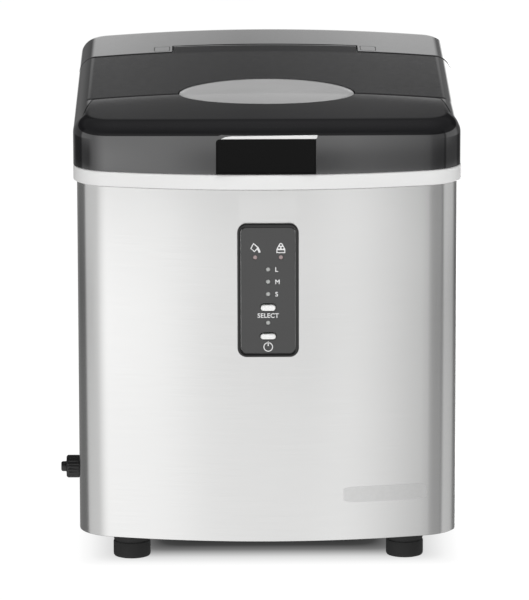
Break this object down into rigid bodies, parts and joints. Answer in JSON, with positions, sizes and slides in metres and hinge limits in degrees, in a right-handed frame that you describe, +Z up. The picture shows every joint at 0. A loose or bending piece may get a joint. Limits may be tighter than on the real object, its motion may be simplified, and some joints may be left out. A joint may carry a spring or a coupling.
{
  "type": "countertop ice maker",
  "caption": "Countertop bullet ice maker with a hinged gloss black lid and oval window, steel cabinet, control panel, lift-out basket, tilting water tray and side drain.",
  "frame": {"origin": "centre of the bounding box's footprint, on the surface that the rubber feet stand on", "axes": "+Z up, the front with the control panel faces -Y, +X is to the right in a front view"},
  "size_m": [0.304, 0.35, 0.3558],
  "materials": {
    "steel": "satin stainless steel",
    "galvanised": "galvanised sheet, dull grey",
    "silver_plastic": "satin silver-white plastic",
    "black_gloss": "high gloss black",
    "black_satin": "matte black",
    "smoke_window": "smoked translucent grey",
    "rubber": "matte rubber",
    "panel_grey": "dark grey satin film",
    "light_guide": "clear diffusing plastic",
    "white_plastic": "white moulded plastic",
    "copper": "bare copper",
    "aluminium": "bare aluminium",
    "black_paint": "black paint",
    "board_green": "green circuit board"
  },
  "bodies": {
    "cabinet": {"base_pan": "galvanised", "basket_rest": "white_plastic", "cabinet_wrap": "steel", "capillary": "copper", "compressor": "black_paint", "compressor_bracket": "black_paint", "compressor_grommet_1": "rubber", "compressor_grommet_2": "rubber", "compressor_grommet_3": "rubber", "condenser": "aluminium", "control_bezel": "black_satin", "control_board": "board_green", "control_face": "panel_grey", "cord_gland": "black_satin", "discharge_pipe": "copper", "drain_spout": "black_satin", "evaporator": "steel", "evaporator_housing": "white_plastic", "fan_motor": "galvanised", "fan_shroud": "black_satin", "filter_drier": "copper", "float_stem": "white_plastic", "foot_front_left": "rubber", "foot_front_right": "rubber", "foot_rear_left": "rubber", "foot_rear_right": "rubber", "hinge_pin_left": "galvanised", "hinge_pin_right": "galvanised", "hot_gas_valve": "copper", "ice_level_sensor": "black_satin", "indicator_light_guide": "light_guide", "liquid_pipe": "copper", "power_board": "board_green", "pump_hose": "white_plastic", "rear_cover": "black_gloss", "rear_panel": "galvanised", "rear_screw_1": "galvanised", "rear_screw_2": "galvanised", "rear_screw_3": "galvanised", "rear_screw_4": "galvanised", "run_capacitor": "black_satin", "suction_pipe": "copper", "terminal_cover": "black_satin", "top_frame": "silver_plastic", "tray_motor": "silver_plastic", "water_pump": "black_satin", "water_tank": "white_plastic"},
    "lid_body": {"lid": "black_gloss", "lid_window": "smoke_window", "lid_grip": "black_satin", "grip_trim": "silver_plastic"},
    "tray_body": {"water_tray": "white_plastic", "tray_shaft": "galvanised"},
    "basket_body": {"ice_basket": "white_plastic"},
    "seal_body": {"drain_seal": "rubber"},
    "cap_body": {"drain_cap": "black_satin"},
    "select_body": {"select_button": "silver_plastic"},
    "power_body": {"power_button": "silver_plastic"},
    "fan_body": {"fan_rotor": "black_satin"},
    "float_body": {"water_float": "silver_plastic"}
  },
  "joints": [
    {"name": "lid_hinge", "type": "hinge", "parent": "cabinet", "child": "lid_body", "pos_m": [0.006, 0.097, 0.3483], "axis": [-1, 0, 0], "range_deg": [0, 95]},
    {"name": "tray_tilt", "type": "hinge", "parent": "cabinet", "child": "tray_body", "pos_m": [0.006, 0.062, 0.252], "axis": [1, 0, 0], "range_deg": [0, 90]},
    {"name": "basket_lift", "type": "slide", "parent": "cabinet", "child": "basket_body", "axis": [0, 0, 1], "range_m": [0, 0.08]},
    {"name": "drain_pull", "type": "slide", "parent": "cabinet", "child": "seal_body", "axis": [-1, 0, 0], "range_m": [0, 0.025]},
    {"name": "drain_cap_turn", "type": "hinge", "parent": "seal_body", "child": "cap_body", "pos_m": [-0.138, -0.095, 0.0588], "axis": [-1, 0, 0], "range_deg": [0, 540]},
    {"name": "select_press", "type": "slide", "parent": "cabinet", "child": "select_body", "axis": [0, 1, 0], "range_m": [0, 0.0008], "stiffness_N_per_m": 300},
    {"name": "power_press", "type": "slide", "parent": "cabinet", "child": "power_body", "axis": [0, 1, 0], "range_m": [0, 0.0008], "stiffness_N_per_m": 300},
    {"name": "fan_spin", "type": "hinge", "parent": "cabinet", "child": "fan_body", "pos_m": [0.072, 0.078, 0.088], "axis": [0, 1, 0], "continuous": true},
    {"name": "float_rise", "type": "slide", "parent": "cabinet", "child": "float_body", "axis": [0, 0, 1], "range_m": [0, 0.012]}
  ]
}
